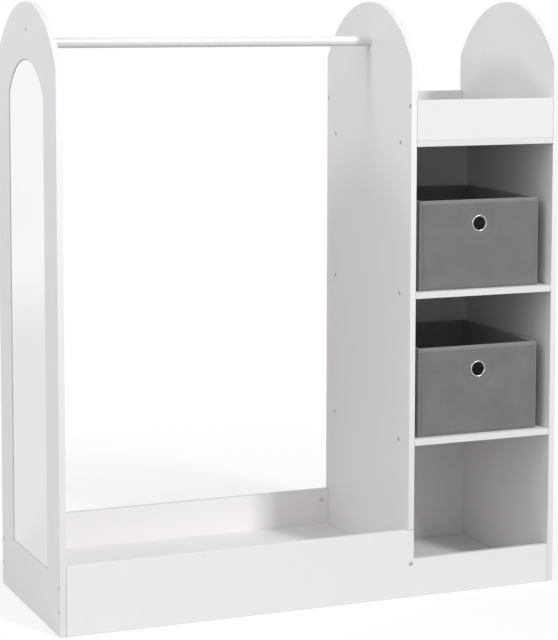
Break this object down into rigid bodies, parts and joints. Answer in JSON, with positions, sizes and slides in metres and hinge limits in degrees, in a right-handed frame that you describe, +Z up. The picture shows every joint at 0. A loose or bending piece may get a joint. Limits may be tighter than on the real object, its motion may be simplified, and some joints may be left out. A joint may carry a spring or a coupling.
{
  "type": "dress up storage unit with mirror",
  "caption": "Children's dress up storage unit with arched panels, a mirror on the outer side, a hanging rod, a shoe shelf, and a tower with an open tray and cubbies with fabric bins.",
  "frame": {"origin": "centre of the footprint, on the floor", "axes": "+X runs along the length from the mirror panel to the tower, -Y is the open front, +Z is up"},
  "size_m": [1.02, 0.396, 1.1499],
  "materials": {
    "panel_white": "white laminated board, satin",
    "board_white": "white laminated board, satin",
    "hardboard_white": "thin white painted hardboard",
    "mirror": "polished silvered mirror",
    "foam_tape": "foam mounting tape",
    "rod_white": "round rod painted off-white",
    "socket_plastic": "moulded white plastic",
    "bolt_steel": "zinc plated steel",
    "cam_zinc": "die-cast zinc",
    "dowel_wood": "bare beech",
    "bin_fabric": "gray non-woven fabric with stitched hem and piping",
    "bin_lining": "gray non-woven fabric",
    "stiff_board": "plain stiff cardboard",
    "grommet_metal": "nickel plated"
  },
  "bodies": {
    "frame": {"left_panel": "panel_white", "middle_panel": "panel_white", "right_panel": "panel_white", "mirror_glass": "mirror", "mirror_tape": "foam_tape", "front_board": "board_white", "shoe_shelf": "board_white", "shoe_rear_board": "board_white", "cubby_floor": "board_white", "lower_shelf": "board_white", "upper_shelf": "board_white", "tray_shelf": "board_white", "tray_front_board": "board_white", "tray_rear_board": "board_white", "lower_cubby_back": "hardboard_white", "middle_cubby_back": "hardboard_white", "upper_cubby_back": "hardboard_white", "hanging_rod": "rod_white", "rod_socket": "socket_plastic", "rod_socket_bolt": "bolt_steel", "rod_end_bolt": "bolt_steel", "left_panel_bolts": "bolt_steel", "middle_panel_bolts": "bolt_steel", "right_panel_bolts": "bolt_steel", "front_board_screw": "bolt_steel", "cam_locks": "cam_zinc", "cam_pins": "bolt_steel", "shoe_shelf_dowels": "dowel_wood", "tower_dowels": "dowel_wood", "tray_dowels": "dowel_wood"},
    "upper_bin": {"upper_bin_cover": "bin_fabric", "upper_bin_front_stiffener": "stiff_board", "upper_bin_side_stiffeners": "stiff_board", "upper_bin_lining": "bin_lining", "upper_bin_base_board": "bin_fabric", "upper_bin_grommet": "grommet_metal", "upper_bin_washer": "grommet_metal"},
    "lower_bin": {"lower_bin_cover": "bin_fabric", "lower_bin_front_stiffener": "stiff_board", "lower_bin_side_stiffeners": "stiff_board", "lower_bin_lining": "bin_lining", "lower_bin_base_board": "bin_fabric", "lower_bin_grommet": "grommet_metal", "lower_bin_washer": "grommet_metal"}
  },
  "joints": [
    {"name": "upper_bin_slide", "type": "slide", "parent": "frame", "child": "upper_bin", "axis": [0, -1, 0], "range_m": [-0.035, 0.33]},
    {"name": "lower_bin_slide", "type": "slide", "parent": "frame", "child": "lower_bin", "axis": [0, -1, 0], "range_m": [-0.035, 0.33]}
  ]
}
